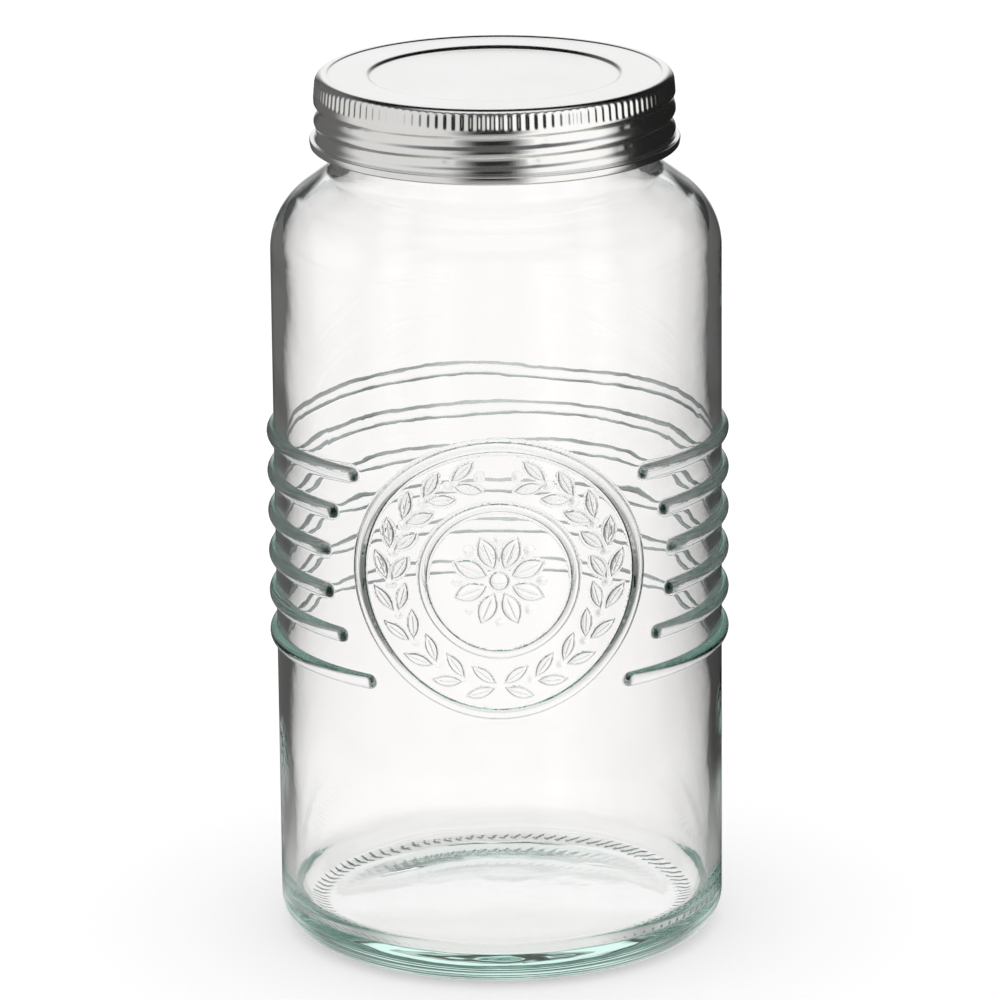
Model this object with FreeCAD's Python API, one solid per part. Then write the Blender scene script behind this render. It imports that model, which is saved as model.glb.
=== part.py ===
# Storage jar of clear moulded glass, shut by a pressed metal screw lid.
#
# Millimetres, +Z up. The jar stands on Z = 0 round the Z axis, and its front,
# where the medallion is, faces -Y. Three solids make it: the glass jar, the
# sheet metal lid, and the liner that seals the lid against the jar's lip.

import FreeCAD, Part
import math
import os

from FreeCAD import Vector

# --- driving dimensions -------------------------------------------------------

# Whole jar
total_height = 216.0        # table to the top of the shut lid
body_diameter = 110.0       # across the plain wall

# Glass
wall = 3.2                  # side, shoulder and neck
floor_thickness = 5.0       # at the middle of the floor
floor_corner = 7.0          # inside radius between floor and wall
heel_radius = 8.0           # outside radius between wall and bearing ring
bearing_width = 1.8         # flat ring that stands on the table
push_up = 2.0               # rise of the underside at its middle
shoulder_radius = 18.3      # outside bend from the wall into the slope
shoulder_slope = 37.0       # degrees above horizontal
neck_height = 20.0          # from the slope's fillet to the lip
neck_fillet = 3.0           # outside radius where the slope meets the neck
lip_round = 1.1             # on both edges of the lip

# Relief on the wall: half-round beads
bead_sink = 0.1             # from the wall's face in to each bead's centre line
rib_count = 6
rib_width = 3.6
rib_pitch = 10.2
top_rib_height = 127.0      # table to the middle of the top rib
medallion_height = 103.9    # table to the middle of the medallion
outer_ring_diameter = 69.0  # over the bead
outer_ring_width = 2.6
inner_ring_diameter = 38.6  # over the bead
inner_ring_width = 2.1
rib_end_gap = 5.6           # from the outer ring to the tips of the ribs

# Lid
sheet = 0.4                 # metal thickness
lid_diameter = 87.8         # over the wall
lid_depth = 17.9            # top of the lid to the bottom of its hem
corner_radius = 2.5         # outside, top into wall
panel_margin = 13.4         # from the wall's face in to the recessed panel, at half its step
panel_drop = 0.8
panel_bend = 50.0           # degrees that each bend of the step turns
rim_margin = 3.9            # from the wall's face in to the foot of the raised rim
rim_rise = 0.35             # of the rim above the flat ring inside it
rim_bend = 40.0             # degrees that each bend of that rise turns
flute_count = 132
flute_depth = 0.26
flute_inset = 0.22          # fluted band, inside the wall's face
flute_top = 2.0             # top of the lid to the upper end of the flutes
flute_length = 3.0
flute_bend = 40.0           # degrees that each bend below the flutes turns
roll_count = 2              # rolled grooves that take the jar's thread
roll_depth = 0.9
roll_bend = 45.0            # degrees that each bend of a groove turns
first_roll = 7.9            # top of the lid to the middle of the first groove
roll_spacing = 4.85
hem_radius = 0.7            # centre line of the curled edge
hem_turn = 270.0            # degrees that the edge curls
hem_inset = 0.25            # how far the wall draws in above the hem
hem_bend = 30.0             # degrees that each bend of that draw turns

# Liner
liner_thickness = 0.85
liner_width = 5.6

# Fit
thread_room = 2.6           # from the jar's neck out to the lid's rolled grooves

# --- sizes that follow --------------------------------------------------------

body_radius = body_diameter / 2
lid_radius = lid_diameter / 2
neck_radius = lid_radius - roll_depth - sheet - thread_room
bearing_radius = body_radius - heel_radius
floor_height = push_up + floor_thickness
lip_height = total_height - rim_rise - sheet - liner_thickness
neck_start = lip_height - neck_height

# The slope is a straight line that touches both the shoulder's bend and the
# neck's fillet, which sets how far apart in height their centres lie.
slope = math.radians(shoulder_slope)
bend_centre = body_radius - shoulder_radius
fillet_centre = neck_radius + neck_fillet
across = (fillet_centre - bend_centre) * math.sin(slope)
shoulder_height = (shoulder_radius + neck_fillet - across) / math.cos(slope)
wall_top = neck_start - shoulder_height

ORIGIN = Vector(0, 0, 0)
UP = Vector(0, 0, 1)


# --- sections and solids of revolution ----------------------------------------

class Section:
    """Outline in the XZ plane, drawn point by point: X is the radius, Z the height."""

    def __init__(self, radius, height):
        self.start = Vector(radius, 0, height)
        self.end = self.start
        self.edges = []

    def line(self, radius, height):
        """Straight run to a point."""
        target = Vector(radius, 0, height)
        if self.end.distanceToPoint(target) > 1e-6:
            self.edges.append(Part.makeLine(self.end, target))
            self.end = target

    def arc(self, centre_radius, centre_height, radius, first, last):
        """Arc about a centre, between two angles in degrees, after a run to where it starts."""
        points = []
        for angle in (first, (first + last) / 2, last):
            turn = math.radians(angle)
            points.append(Vector(centre_radius + radius * math.cos(turn), 0,
                                 centre_height + radius * math.sin(turn)))
        self.line(points[0].x, points[0].z)
        self.edges.append(Part.Arc(*points).toShape())
        self.end = points[2]

    def revolved(self):
        """The closed outline, turned once round the jar's axis."""
        self.line(self.start.x, self.start.z)
        return Part.Face(Part.Wire(self.edges)).revolve(ORIGIN, UP, 360)


def ring(inner, outer, bottom, height):
    """Plain flat ring or tube round the jar's axis."""
    section = Section(inner, bottom)
    section.line(outer, bottom)
    section.line(outer, bottom + height)
    section.line(inner, bottom + height)
    return section.revolved()


# --- glass ---------------------------------------------------------------------

def hollow_blank():
    """The jar without its relief, with a band of wall marked off for each rib."""
    foot = bearing_radius - bearing_width
    dome = (foot ** 2 + push_up ** 2) / (2 * push_up)
    rim = math.degrees(math.asin(foot / dome))
    edge = 90 - shoulder_slope
    inside = body_radius - wall
    corner = inside - floor_corner

    section = Section(0, floor_height)
    section.line(0, push_up)
    section.arc(0, push_up - dome, dome, 90, 90 - rim)
    section.arc(bearing_radius, heel_radius, heel_radius, -90, 0)
    for index in range(rib_count, -1, -1):
        section.line(body_radius, top_rib_height + (0.5 - index) * rib_pitch)
    section.arc(bend_centre, wall_top, shoulder_radius, 0, edge)
    section.arc(fillet_centre, neck_start, neck_fillet, 180 + edge, 180)
    section.arc(neck_radius - lip_round, lip_height - lip_round, lip_round, 0, 90)
    section.arc(neck_radius - wall + lip_round, lip_height - lip_round, lip_round, 90, 180)
    section.arc(fillet_centre, neck_start, neck_fillet + wall, 180, 180 + edge)
    section.arc(bend_centre, wall_top, shoulder_radius - wall, edge, 0)
    section.arc(corner, floor_height + floor_corner, floor_corner, 0, -90)
    return section.revolved()


def rib(height):
    """Bead round the sides and back that stops at each side of the medallion."""
    radius = rib_width / 2
    track = body_radius - bead_sink
    clear = outer_ring_diameter / 2 + rib_end_gap + radius
    across_front = math.sqrt(clear ** 2 - (height - medallion_height) ** 2)
    opening = math.degrees(math.asin(across_front / track))
    first = opening - 90
    last = 270 - opening

    bead = Part.makeTorus(track, radius, ORIGIN, UP, -180, 180, last - first)
    bead.rotate(ORIGIN, UP, first)
    ends = []
    for angle, half_turn in ((first, 180), (last, 0)):
        cap = Part.makeSphere(radius, ORIGIN, UP, -90, 90, 180)
        cap.rotate(ORIGIN, UP, half_turn)
        cap.translate(Vector(track, 0, 0))
        cap.rotate(ORIGIN, UP, angle)
        ends.append(cap)
    solid = bead.fuse(ends)
    solid.translate(Vector(0, 0, height))
    return solid


def medallion_ring(diameter, width):
    """Bead that is a circle seen from the front and lies on the round wall."""
    radius = width / 2
    reach = diameter / 2 - radius
    track = body_radius - bead_sink
    steps = 48
    points = []
    for step in range(steps):
        turn = 2 * math.pi * step / steps
        x = reach * math.sin(turn)
        z = medallion_height + reach * math.cos(turn)
        points.append(Vector(x, -math.sqrt(track ** 2 - x ** 2), z))
    curve = Part.BSplineCurve()
    curve.interpolate(Points=points, PeriodicFlag=True)

    first = curve.FirstParameter
    half = (curve.LastParameter - first) / 2
    sides = []
    for start in (first, first + half):
        path = Part.Wire([curve.toShape(start, start + half)])
        circle = Part.Circle(curve.value(start), curve.tangent(start)[0], radius)
        sides.append(path.makePipeShell([Part.Wire([circle.toShape()])], True, False))
    return sides


def make_jar_body():
    """Glass jar with its six broken ribs and the two rings of the medallion."""
    relief = [rib(top_rib_height - index * rib_pitch) for index in range(rib_count)]
    relief += medallion_ring(outer_ring_diameter, outer_ring_width)
    relief += medallion_ring(inner_ring_diameter, inner_ring_width)
    return hollow_blank().fuse(relief)


# --- lid -----------------------------------------------------------------------

def run(length):
    """Straight stretch of a strip."""
    return (length, 0, 0)


def bend(radius, degrees):
    """Curved stretch of a strip, which turns left where the degrees are positive."""
    return (0, radius, degrees)


def jog(shift, degrees):
    """Two bends that move a strip sideways, left where the shift is positive."""
    radius = abs(shift) / (2 * (1 - math.cos(math.radians(degrees))))
    turn = math.copysign(degrees, shift)
    return [bend(radius, turn), bend(radius, -turn)]


def jog_length(shift, degrees):
    """How far a strip gets along while it moves sideways."""
    return abs(shift) / math.tan(math.radians(degrees) / 2)


def strip_side(start, stretches, offset):
    """Edges of one face of a bent strip, offset to the left of its centre line."""
    place = Vector(start)
    heading = 0.0
    edges = []
    for length, radius, degrees in stretches:
        left = direction(heading + 90)
        if length:
            ahead = place + direction(heading) * length
            edges.append(Part.makeLine(place + left * offset, ahead + left * offset))
            place = ahead
            continue
        side = math.copysign(1, degrees)
        centre = place + left * (side * radius)
        spokes = [direction(heading - side * 90 + degrees * share) for share in (0, 0.5, 1)]
        face_radius = radius - side * offset
        edges.append(Part.Arc(*[centre + spoke * face_radius for spoke in spokes]).toShape())
        place = centre + spokes[2] * radius
        heading += degrees
    return edges


def direction(degrees):
    """Unit vector in the XZ plane, counted from +X towards +Z."""
    turn = math.radians(degrees)
    return Vector(math.cos(turn), 0, math.sin(turn))


def revolved_strip(start, stretches):
    """Sheet metal of even thickness, bent along a centre line and turned round the axis."""
    top = strip_side(start, stretches, sheet / 2)
    underside = strip_side(start, stretches, -sheet / 2)
    inner_end = Part.makeLine(underside[0].Vertexes[0].Point, top[0].Vertexes[0].Point)
    outer_end = Part.makeLine(top[-1].Vertexes[-1].Point, underside[-1].Vertexes[-1].Point)
    outline = Part.__sortEdges__(top + [outer_end] + underside + [inner_end])
    return Part.Face(Part.Wire(outline)).revolve(ORIGIN, UP, 360)


def flute_outline(peak):
    """Closed polygon with a flat ridge and a flat valley for each flute."""
    corners = []
    for index in range(4 * flute_count):
        on_ridge = index % 4 < 2
        radius = peak if on_ridge else peak - flute_depth
        turn = 2 * math.pi * (index + 0.5) / (4 * flute_count)
        corners.append(Vector(radius * math.cos(turn), radius * math.sin(turn), 0))
    corners.append(corners[0])
    return Part.makePolygon(corners)


def fluted_band(top, peak):
    """Wall of the lid folded into upright flutes, hanging down from a height."""
    outside = Part.Face(flute_outline(peak))
    inside = Part.Face(flute_outline(peak - sheet))
    band = outside.cut(inside).extrude(Vector(0, 0, -flute_length))
    band.translate(Vector(0, 0, top))
    return band


def make_lid():
    """Pressed lid: recessed panel, raised rim, flutes, two rolled grooves, curled hem."""
    upper_wall = lid_radius - flute_inset - sheet / 2
    top_bend = corner_radius - sheet / 2
    step = jog_length(panel_drop, panel_bend)
    panel_end = lid_radius - panel_margin - step / 2
    rim_start = lid_radius - rim_margin
    to_rim = rim_start - panel_end - step
    to_corner = upper_wall - top_bend - rim_start - jog_length(rim_rise, rim_bend)

    roll_length = 2 * jog_length(roll_depth, roll_bend)
    flutes_end = flute_top + flute_length
    widening = jog_length(flute_inset, flute_bend)
    before_rolls = first_roll - roll_length / 2 - flutes_end - widening
    rolls_end = first_roll + (roll_count - 1) * roll_spacing + roll_length / 2
    before_hem = lid_depth - rolls_end - jog_length(hem_inset, hem_bend) - hem_radius - sheet / 2

    stretches = [run(panel_end)]
    stretches += jog(panel_drop, panel_bend)
    stretches += [run(to_rim)]
    stretches += jog(rim_rise, rim_bend)
    stretches += [run(to_corner), bend(top_bend, -90), run(flutes_end - corner_radius)]
    stretches += jog(flute_inset, flute_bend)
    stretches += [run(before_rolls)]
    for index in range(roll_count):
        stretches += jog(-roll_depth, roll_bend)
        stretches += jog(roll_depth, roll_bend)
        if index < roll_count - 1:
            stretches += [run(roll_spacing - roll_length)]
    stretches += jog(-hem_inset, hem_bend)
    stretches += [run(before_hem), bend(hem_radius, hem_turn)]

    panel_height = total_height - rim_rise - panel_drop - sheet / 2
    shell = revolved_strip(Vector(0, 0, panel_height), stretches)
    flutes_from = total_height - flute_top
    gap = ring(lid_radius - 2 * corner_radius, lid_radius + corner_radius,
               flutes_from - flute_length, flute_length)
    peak = lid_radius - flute_inset - flute_depth / 4
    return shell.cut(gap).fuse(fluted_band(flutes_from, peak)).removeSplitter()


# --- liner ---------------------------------------------------------------------

def make_lid_liner():
    """Flat ring of soft compound between the underside of the lid and the jar's lip."""
    outer = lid_radius - flute_inset - corner_radius
    return ring(outer - liner_width, outer, lip_height, liner_thickness)


# --- export --------------------------------------------------------------------

def main():
    os.makedirs("parts", exist_ok=True)
    nodes = {
        "jar_body": make_jar_body(),
        "lid": make_lid(),
        "lid_liner": make_lid_liner(),
    }
    for name, shape in nodes.items():
        solid = shape.Solids[0]
        solid.exportStep(os.path.join("parts", name + ".step"))
        print(name, "solids", len(shape.Solids), "valid", solid.isValid(),
              "cm3", round(solid.Volume / 1000, 2))


main()
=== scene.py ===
# %% [markdown]
# # A tall storage jar of ribbed glass with a screw lid
#
# The real jar is one piece of clear moulded glass, about 22 cm tall, with six
# half-round ribs that stop beside a round medallion. A pressed metal lid with
# a fluted edge and rolled threads screws onto it. This lesson builds each
# piece as one mesh of rings, and gives it a finish made of shader nodes.
#
# The box it fills is kept.

# %% The frame that the pieces fit
import math

import bpy
import numpy as np
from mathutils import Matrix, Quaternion, Vector


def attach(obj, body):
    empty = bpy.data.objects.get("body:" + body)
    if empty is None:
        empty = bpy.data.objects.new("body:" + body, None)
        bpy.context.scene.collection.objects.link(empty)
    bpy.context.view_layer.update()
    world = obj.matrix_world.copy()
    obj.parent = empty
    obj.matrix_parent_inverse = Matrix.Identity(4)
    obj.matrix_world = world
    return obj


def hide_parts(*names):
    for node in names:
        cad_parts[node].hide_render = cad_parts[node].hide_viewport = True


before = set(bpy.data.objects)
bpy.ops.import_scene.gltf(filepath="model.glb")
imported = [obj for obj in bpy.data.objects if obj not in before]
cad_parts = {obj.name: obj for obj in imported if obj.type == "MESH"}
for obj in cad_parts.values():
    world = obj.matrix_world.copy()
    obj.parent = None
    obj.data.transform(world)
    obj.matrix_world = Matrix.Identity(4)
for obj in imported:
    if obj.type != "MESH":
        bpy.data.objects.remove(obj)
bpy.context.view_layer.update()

# %% [markdown]
# ## Sizes
#
# Glass makers draw in millimetres, so the shapes are worked out in them and
# turned into metres when a mesh is made. Angles go once round the jar, from 0
# at the front towards the right, so that left and right mirror each other.

# %% Sizes in millimetres
MM = 0.001
TOTAL_HEIGHT = 216.0
BODY_RADIUS = 55.0
WALL = 3.2
HEEL_RADIUS = 8.0
BEARING_RADIUS = BODY_RADIUS - HEEL_RADIUS
BEARING_WIDTH = 1.8
PUSH_UP = 2.0
FLOOR_HEIGHT = 7.0
FLOOR_CORNER = 7.0
SHOULDER_RADIUS = 18.3
SHOULDER_SLOPE = 37.0
NECK_RADIUS = 40.0
NECK_FILLET = 3.0
LIP_ROUND = 1.1
LIP_HEIGHT = 214.4
NECK_START = 194.4
BEND_CENTRE = BODY_RADIUS - SHOULDER_RADIUS
FILLET_CENTRE = NECK_RADIUS + NECK_FILLET
slope = math.radians(SHOULDER_SLOPE)
WALL_TOP = NECK_START - (
    SHOULDER_RADIUS + NECK_FILLET - (FILLET_CENTRE - BEND_CENTRE) * math.sin(slope)
) / math.cos(slope)
print("wall ends at", round(WALL_TOP, 2), "mm")

# %% [markdown]
# ## Meshes made of rings
#
# Everything here is round, so a mesh can be a stack of rings. A Screw modifier
# turns a section round an axis too, but then the radius can't change on the
# way round, as it has to for all the relief. A ring is a set of angles and a
# radius and height at each. Where two rings share an angle they are joined by a
# quad, and where one has more corners than the other the strip between them is
# closed with triangles. That way the front of the jar can have fine columns for
# its medallion, and the back coarse ones, and the skin still has no hole.

# %% Rings
class Ring:
    """One closed loop of corners round the axis, in millimetres and degrees."""

    def __init__(self, angles, radius, height):
        self.angles = np.asarray(angles, float)
        self.radius = np.broadcast_to(np.asarray(radius, float), self.angles.shape)
        self.height = np.broadcast_to(np.asarray(height, float), self.angles.shape)

    def points(self):
        turn = np.radians(self.angles)
        x = self.radius * np.sin(turn)
        y = -self.radius * np.cos(turn)
        return np.stack([x, y, self.height], axis=1)


def even_angles(count):
    """Evenly spaced angles once round, from the back."""
    return -180.0 + 360.0 * np.arange(count) / count


def strip_faces(lower, upper, lower_start, upper_start):
    """Faces between two rings that follow each other along a section."""
    a, b = len(lower.angles), len(upper.angles)
    if a == b and np.allclose(lower.angles, upper.angles):
        step = np.arange(a)
        after = (step + 1) % a
        quads = np.stack([lower_start + step, lower_start + after,
                          upper_start + after, upper_start + step], axis=1)
        return quads.tolist()
    low = list(lower.angles) + [lower.angles[0] + 360.0]
    up = list(upper.angles) + [upper.angles[0] + 360.0]
    faces = []
    i = j = 0
    while i < a or j < b:
        low_here, low_next = lower_start + i % a, lower_start + (i + 1) % a
        up_here, up_next = upper_start + j % b, upper_start + (j + 1) % b
        gap = (low[i + 1] if i < a else 1e9) - (up[j + 1] if j < b else 1e9)
        if abs(gap) < 1e-6:
            faces.append([low_here, low_next, up_next, up_here])
            i, j = i + 1, j + 1
        elif gap < 0:
            faces.append([low_here, low_next, up_here])
            i += 1
        else:
            faces.append([low_here, up_next, up_here])
            j += 1
    return faces


def fan_faces(start, count, centre, upward):
    """Triangles that close a ring onto one centre point."""
    pairs = [(start + i, start + (i + 1) % count) for i in range(count)]
    return [[a, b, centre] if upward else [b, a, centre] for a, b in pairs]


def into_scene(name, data):
    """A new object that shows a mesh or a camera."""
    made = bpy.data.objects.new(name, data)
    bpy.context.scene.collection.objects.link(made)
    return made


def mesh_piece(name, rings, first_centre, last_centre):
    """A closed, smooth mesh from rings, shut on points of the axis or onto itself."""
    points, starts, faces = [], [], []
    total = 0
    for ring in rings:
        starts.append(total)
        points.append(ring.points())
        total += len(ring.angles)
    for k in range(len(rings) - 1):
        faces += strip_faces(rings[k], rings[k + 1], starts[k], starts[k + 1])
    if first_centre is None:
        faces += strip_faces(rings[-1], rings[0], starts[-1], starts[0])
    else:
        points.append(np.array([[0, 0, first_centre], [0, 0, last_centre]]))
        faces += fan_faces(starts[0], len(rings[0].angles), total, False)
        faces += fan_faces(starts[-1], len(rings[-1].angles), total + 1, True)
    mesh = bpy.data.meshes.new(name)
    mesh.from_pydata((np.concatenate(points) * MM).tolist(), [], faces)
    mesh.polygons.foreach_set("use_smooth", [True] * len(mesh.polygons))
    mesh.update()
    mesh.calc_loop_triangles()
    print(name, len(mesh.vertices), "corners", len(mesh.loop_triangles), "triangles")
    return into_scene(name, mesh)


# %% [markdown]
# ## Sections
#
# The outline of the jar cut through its axis is a chain of lines and arcs. Each
# step of the chain keeps a radius, a height and the direction that faces out
# of the glass, so that relief can be pushed out or in along it later.

# %% Lines and arcs of a section
def cos_sin(degrees):
    """Cosine and sine of an angle in degrees."""
    turn = math.radians(degrees)
    return math.cos(turn), math.sin(turn)


class Outline:
    """Points of a section with the direction out of the material at each."""

    def __init__(self):
        self.radius, self.height, self.out_r, self.out_z = [], [], [], []

    def add(self, radius, height, out_r, out_z):
        self.radius.append(radius)
        self.height.append(height)
        self.out_r.append(out_r)
        self.out_z.append(out_z)

    def arc(self, centre_r, centre_z, radius, first, last, steps, inward=False):
        """Arc by its centre and angles in degrees, without its first point."""
        side = -1 if inward else 1
        for k in range(1, steps + 1):
            c, s = cos_sin(first + (last - first) * k / steps)
            self.add(centre_r + radius * c, centre_z + radius * s, side * c, side * s)

    def rings(self, angles, start=0):
        """Plain rings for the points from a place in the chain on."""
        return [Ring(angles, r, z) for r, z in zip(self.radius[start:], self.height[start:])]


# %% [markdown]
# ## Relief on the glass
#
# A mould cuts each rib as a half-round groove, and hot glass rounds the foot of
# the rib where it leaves the wall. Tubes joined to the wall by a Boolean would
# do, but its long thin faces show in clear glass. So a bead here is a circle
# that ends in a small hollow fillet, and it pushes the wall's own corners out.
# Its height depends only on the distance from the bead's middle line, which
# makes ribs, round rib ends and the medallion's rings the same short function.

# %% Beads
RIB_COUNT = 6
RIB_WIDTH = 3.6
RIB_PITCH = 10.2
TOP_RIB = 127.0
BEAD_SINK = 0.1
FOOT_FILLET = 0.35
MEDALLION_HEIGHT = 103.9
OUTER_RING = 69.0
OUTER_RING_WIDTH = 2.6
INNER_RING = 38.6
INNER_RING_WIDTH = 2.1
RIB_END_GAP = 5.6
FRONT_LIMIT = 60.0
RIB_MIDDLES = [TOP_RIB - index * RIB_PITCH for index in range(RIB_COUNT)]


def bead_height(distance, width, sink=BEAD_SINK, fillet=FOOT_FILLET):
    """How far a half-round bead stands out at a distance from its middle line."""
    radius = width / 2
    reach = math.sqrt((radius + fillet) ** 2 - (fillet + sink) ** 2)
    meet = radius * reach / (radius + fillet)
    d = np.abs(distance)
    crown = np.sqrt(np.clip(radius ** 2 - d ** 2, 0, None)) - sink
    foot = fillet - np.sqrt(np.clip(fillet ** 2 - (reach - d) ** 2, 0, None))
    return np.where(d < meet, crown, np.where(d < reach, foot, 0.0))


def rib_distances(angles, heights):
    """For each rib the distance from its middle line, which ends beside the medallion."""
    track = BODY_RADIUS - BEAD_SINK
    clear = OUTER_RING / 2 + RIB_END_GAP + RIB_WIDTH / 2
    for middle in RIB_MIDDLES:
        across = math.sqrt(clear ** 2 - (middle - MEDALLION_HEIGHT) ** 2)
        end = math.degrees(math.asin(across / track))
        past_end = np.clip(np.radians(end - np.abs(angles)), 0, None) * BODY_RADIUS
        yield np.hypot(heights - middle, past_end)


def rib_heights(angles, heights):
    """Six ribs round the sides and back, each with a round end beside the medallion."""
    result = np.zeros(np.broadcast(angles, heights).shape)
    for distance in rib_distances(angles, heights):
        result = np.maximum(result, bead_height(distance, RIB_WIDTH))
    return result


def from_the_front(angles, heights):
    """Places across and above the medallion's middle, seen from the front."""
    x = BODY_RADIUS * np.sin(np.radians(angles))
    z = heights - MEDALLION_HEIGHT
    return x + 0 * z, z + 0 * x


def front_only(angles, relief):
    """Relief without its mirror image on the back, which has the same places across."""
    return np.where(np.abs(angles) < FRONT_LIMIT, relief, 0)


def medallion_rings(angles, heights):
    """Two beads that look circular from the front and lie on the round wall."""
    x, z = from_the_front(angles, heights)
    reach = np.hypot(x, z)
    lean = np.cos(np.radians(angles))
    steep = np.sqrt((x * lean) ** 2 + z ** 2) / np.maximum(reach, 1e-6)
    result = np.zeros_like(reach)
    for diameter, width in ((OUTER_RING, OUTER_RING_WIDTH), (INNER_RING, INNER_RING_WIDTH)):
        distance = (reach - (diameter - width) / 2) / np.maximum(steep, 0.3)
        result = np.maximum(result, bead_height(distance, width))
    return front_only(angles, result)


print("ribs stand out", float(bead_height(0.0, RIB_WIDTH)), "mm")

# %% [markdown]
# ## Ornament in the medallion
#
# Jars like this have something raised between and inside the two rings. A wreath
# of leaves with berries and a rosette are old ornaments that belong to nobody,
# and they fill the same places at about the same scale. Leaves could be meshes
# of their own, laid on the wall, but in the mould they are part of it. So each
# leaf is a low pointed dome that is added to the wall, drawn by its own length
# and width, and a shallow groove makes its middle vein.

# %% Leaves, berries and petals
BAND_MIDDLE = 26.0
LEAF_LENGTH = 7.0
LEAF_WIDTH = 2.7
LEAF_RISE = 0.75
LEAF_VEIN = 0.4
LEAF_PAIRS = 10
FIRST_PAIR = 9.5
PAIR_STEP = 17.0
LEAF_SPREAD = 27.0
LEAF_SHIFT = 2.25
BERRY_WIDTH = 1.7
BERRY_RISE = 0.6
BERRY_STEP = 7.6
PETALS = 8
PETAL_PLACE = 7.4
PETAL_LENGTH = 8.2
PETAL_WIDTH = 4.3
PETAL_RISE = 0.8
PETAL_VEIN = 0.45
BEAD_PLACE = 10.2
BEAD_WIDTH = 1.9
BOSS_WIDTH = 4.6
BOSS_RISE = 0.9
VEIN_WIDTH = 0.28
DOME_FULLNESS = 1.6


def dome(x, z, centre_x, centre_z, lean, length, width, rise, vein):
    """A pointed dome, which is two circles' overlap, lying at an angle in degrees."""
    c, s = cos_sin(lean)
    along = (x - centre_x) * c + (z - centre_z) * s
    aside = -(x - centre_x) * s + (z - centre_z) * c
    edge = width / 2 * (1 - (2 * along / length) ** 2)
    share = np.clip(1 - (aside / np.maximum(edge, 1e-3)) ** 2, 0, 1)
    inside = (np.abs(along) < length / 2) & (np.abs(aside) < edge)
    full = np.clip(edge / (width / 2) * DOME_FULLNESS, 0, 1)
    groove = 1 - vein * np.exp(-(aside / VEIN_WIDTH) ** 2)
    return np.where(inside, rise * np.sqrt(share) * full * groove, 0.0)


def berry(x, z, centre_x, centre_z, width, rise):
    """A round dome."""
    share = 1 - ((x - centre_x) ** 2 + (z - centre_z) ** 2) / (width / 2) ** 2
    return rise * np.sqrt(np.clip(share, 0, 1))


def wreath_heights(angles, heights):
    """Two branches of leaf pairs that rise from the bottom to meet at the top."""
    x, z = from_the_front(angles, heights)
    result = np.zeros_like(x)
    for side in (-1, 1):
        for pair in range(LEAF_PAIRS):
            turn = -90 + FIRST_PAIR + pair * PAIR_STEP
            c, s = cos_sin(turn)
            for half in (-1, 1):
                middle = BAND_MIDDLE + half * LEAF_SHIFT
                leaf = dome(side * x, z, middle * c, middle * s,
                            turn + 90 - half * LEAF_SPREAD,
                            LEAF_LENGTH, LEAF_WIDTH, LEAF_RISE, LEAF_VEIN)
                result = np.maximum(result, leaf)
            c, s = cos_sin(turn + BERRY_STEP)
            result = np.maximum(result, berry(side * x, z, BAND_MIDDLE * c, BAND_MIDDLE * s,
                                              BERRY_WIDTH, BERRY_RISE))
    return front_only(angles, result)


def rosette_heights(angles, heights):
    """Eight petals and a boss, with a bead between each two petals."""
    x, z = from_the_front(angles, heights)
    result = berry(x, z, 0, 0, BOSS_WIDTH, BOSS_RISE)
    for petal in range(PETALS):
        turn = 360.0 * petal / PETALS + 180.0 / PETALS
        c, s = cos_sin(turn)
        result = np.maximum(result, dome(x, z, PETAL_PLACE * c, PETAL_PLACE * s, turn,
                                         PETAL_LENGTH, PETAL_WIDTH, PETAL_RISE, PETAL_VEIN))
        c, s = cos_sin(turn + 180.0 / PETALS)
        result = np.maximum(result, berry(x, z, BEAD_PLACE * c, BEAD_PLACE * s,
                                          BEAD_WIDTH, BERRY_RISE))
    return front_only(angles, result)


def wall_relief(angles, heights):
    """All that stands out of the round wall, in millimetres."""
    relief = np.maximum(rib_heights(angles, heights), medallion_rings(angles, heights))
    relief = np.maximum(relief, wreath_heights(angles, heights))
    return np.maximum(relief, rosette_heights(angles, heights))


print("wreath of", 4 * LEAF_PAIRS, "leaves, rosette of", PETALS, "petals")

# %% [markdown]
# ## The inside of the glass
#
# Only the outside touches the mould. The inside is blown, so it is smooth but
# never quite even: it swells a little behind each rib and drifts in slow
# waves. Those waves are what make the far side of a real jar wobble when it is
# seen through the near one. A Displace modifier with a cloud texture could make
# them too. A sum of sines is as smooth, and it closes exactly round the jar.

# %% Blown unevenness
draws = np.random.default_rng(11)
WAVES = [(int(draws.integers(1, 9)), draws.uniform(25, 90), draws.uniform(0, 360),
          draws.uniform(0, 360)) for _ in range(14)]
WAVE_RISE = 0.022
SINK_BEHIND_RIB = 0.14
SINK_WIDTH = 3.2


def blown_waves(angles, heights):
    """Slow drift of the inner face, in millimetres, positive into the wall."""
    total = np.zeros(np.broadcast(angles, heights).shape)
    for rounds, length, start, phase in WAVES:
        total = total + WAVE_RISE * np.sin(
            np.radians(rounds * angles + start)) * np.sin(
            2 * np.pi * heights / length + math.radians(phase))
    return total


def inner_echo(angles, heights):
    """Shallow hollows behind the ribs, where the glass sank into the mould."""
    total = np.zeros(np.broadcast(angles, heights).shape)
    for distance in rib_distances(angles, heights):
        total = total + SINK_BEHIND_RIB * np.exp(-(distance / SINK_WIDTH) ** 2)
    return total


print("slow waves inside", len(WAVES))

# %% [markdown]
# ## Bars under the heel
#
# The ring that the jar stands on is covered with short slanted bars. They keep
# the hot jar off the belt and let it slide without a scratch. They could be
# small boxes sunk into the heel, but pressed glass has no seams. Here the face
# between the bars draws back from the table by a third of a millimetre.

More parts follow.
